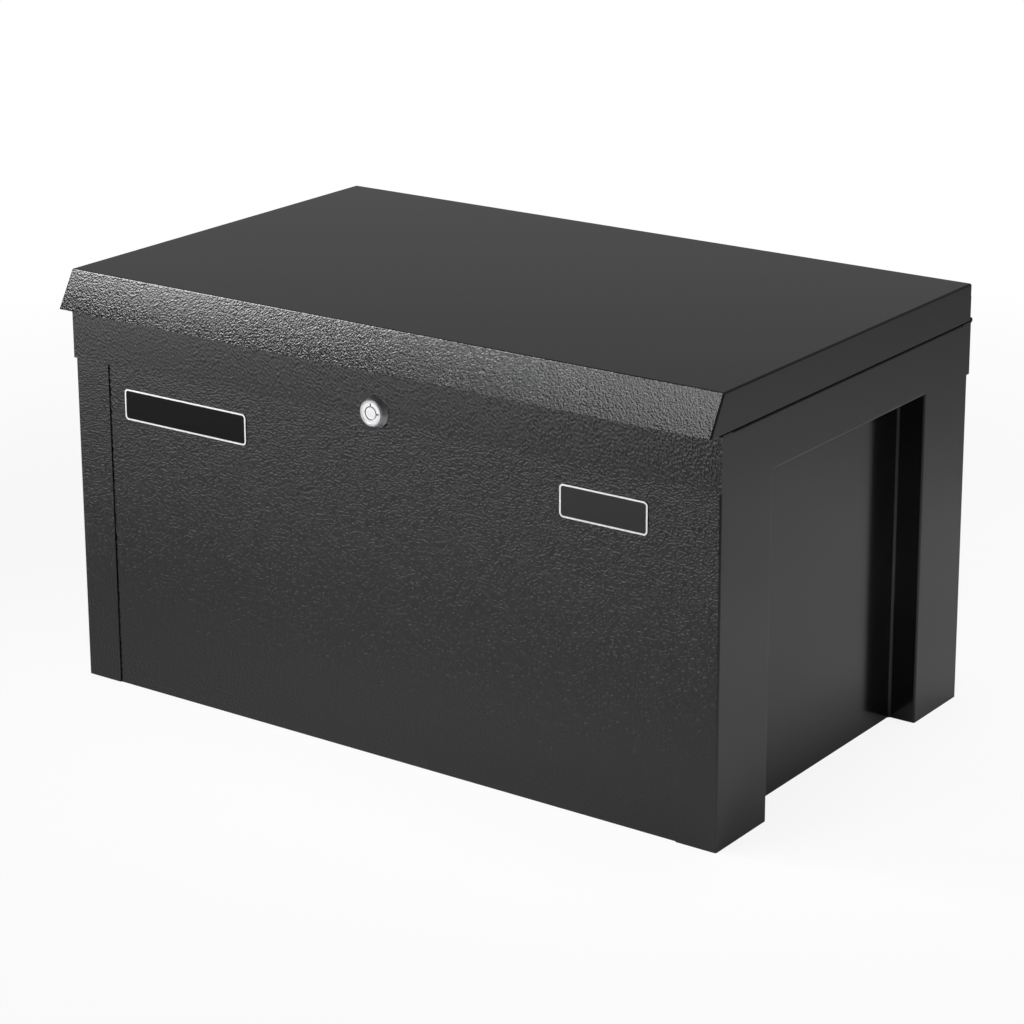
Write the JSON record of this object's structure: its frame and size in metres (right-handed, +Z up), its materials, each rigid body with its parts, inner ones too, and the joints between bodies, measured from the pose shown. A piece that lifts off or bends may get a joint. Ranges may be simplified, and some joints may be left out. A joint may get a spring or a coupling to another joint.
{
  "type": "steel storage chest",
  "caption": "Low steel storage chest with a hinged lid held by gas struts, a push lock in its front rail, open recesses in both ends and a sloped lifting lip.",
  "frame": {"origin": "middle of the flat underside, on the surface that the chest stands on", "axes": "+X to the right along the front, +Y from the front to the hinge at the back, +Z up"},
  "size_m": [0.69, 0.4362, 0.3894],
  "materials": {
    "textured_black_paint": "hammered, textured",
    "satin_black_paint": "satin",
    "bright_chrome": "polished",
    "zinc_plated_steel": "zinc plated",
    "enamelled_plate": "black enamel inside a bright rim",
    "black_nylon": "moulded",
    "black_rubber": "matt"
  },
  "bodies": {
    "chest": {"front_panel": "textured_black_paint", "rear_panel": "textured_black_paint", "left_side_panel": "satin_black_paint", "right_side_panel": "satin_black_paint", "front_rail": "textured_black_paint", "rear_rail": "textured_black_paint", "left_rail": "satin_black_paint", "right_rail": "satin_black_paint", "floor_pan": "satin_black_paint", "left_nameplate": "enamelled_plate", "right_nameplate": "enamelled_plate", "lock_housing": "zinc_plated_steel", "lock_studs": "zinc_plated_steel", "lock_nuts": "zinc_plated_steel", "lock_bezel": "bright_chrome", "lock_spring": "zinc_plated_steel", "hinge_body_leaf": "satin_black_paint", "hinge_pin": "zinc_plated_steel", "hinge_body_rivets": "zinc_plated_steel", "left_strut_bracket": "satin_black_paint", "right_strut_bracket": "satin_black_paint", "left_lower_stud": "zinc_plated_steel", "right_lower_stud": "zinc_plated_steel", "rim_buffers": "black_rubber"},
    "lid": {"lid_skin": "satin_black_paint", "lid_front_brace": "satin_black_paint", "lid_left_stiffener": "satin_black_paint", "lid_right_stiffener": "satin_black_paint", "lid_striker": "zinc_plated_steel", "striker_rivets": "zinc_plated_steel", "hinge_lid_leaf": "satin_black_paint", "hinge_lid_rivets": "zinc_plated_steel", "left_lid_bracket": "satin_black_paint", "right_lid_bracket": "satin_black_paint", "left_upper_stud": "zinc_plated_steel", "right_upper_stud": "zinc_plated_steel", "upper_stud_nuts": "zinc_plated_steel"},
    "lock_barrel": {"lock_barrel": "bright_chrome", "lock_bolt": "zinc_plated_steel"},
    "lock_plug": {"lock_plug": "bright_chrome"},
    "left_cylinder": {"left_strut_cylinder": "satin_black_paint", "left_strut_gland": "zinc_plated_steel", "left_strut_upper_end": "black_nylon"},
    "left_rod": {"left_strut_rod": "bright_chrome", "left_strut_lower_end": "black_nylon"},
    "right_cylinder": {"right_strut_cylinder": "satin_black_paint", "right_strut_gland": "zinc_plated_steel", "right_strut_upper_end": "black_nylon"},
    "right_rod": {"right_strut_rod": "bright_chrome", "right_strut_lower_end": "black_nylon"}
  },
  "joints": [
    {"name": "lid_hinge", "type": "hinge", "parent": "chest", "child": "lid", "pos_m": [0, 0.2095, 0.3552], "axis": [-1, 0, 0], "range_deg": [0, 80]},
    {"name": "lock_push", "type": "slide", "parent": "chest", "child": "lock_barrel", "axis": [0, 1, 0], "range_m": [0, 0.006], "stiffness_N_per_m": 800, "springref_m": -0.003, "deforming": ["lock_spring"]},
    {"name": "lock_turn", "type": "hinge", "parent": "lock_barrel", "child": "lock_plug", "pos_m": [0, -0.212, 0.3145], "axis": [0, 1, 0], "range_deg": [0, 90]},
    {"name": "left_strut_pivot", "type": "hinge", "parent": "lid", "child": "left_cylinder", "pos_m": [-0.3025, 0.1595, 0.3672], "axis": [-1, 0, 0], "range_deg": [-73.5, 0]},
    {"name": "left_strut_slide", "type": "slide", "parent": "left_cylinder", "child": "left_rod", "axis": [0, -0.4657, -0.8849], "range_m": [0, 0.0618]},
    {"name": "right_strut_pivot", "type": "hinge", "parent": "lid", "child": "right_cylinder", "pos_m": [0.3025, 0.1595, 0.3672], "axis": [-1, 0, 0], "range_deg": [-73.5, 0]},
    {"name": "right_strut_slide", "type": "slide", "parent": "right_cylinder", "child": "right_rod", "axis": [0, -0.4657, -0.8849], "range_m": [0, 0.0618]}
  ],
  "couplings": [
    {"joint": "left_strut_pivot", "follows": "lid_hinge", "ratio": -0.91157},
    {"joint": "left_strut_slide", "follows": "lid_hinge", "m_per_rad": 0.043918},
    {"joint": "right_strut_pivot", "follows": "lid_hinge", "ratio": -0.91157},
    {"joint": "right_strut_slide", "follows": "lid_hinge", "m_per_rad": 0.043918}
  ]
}
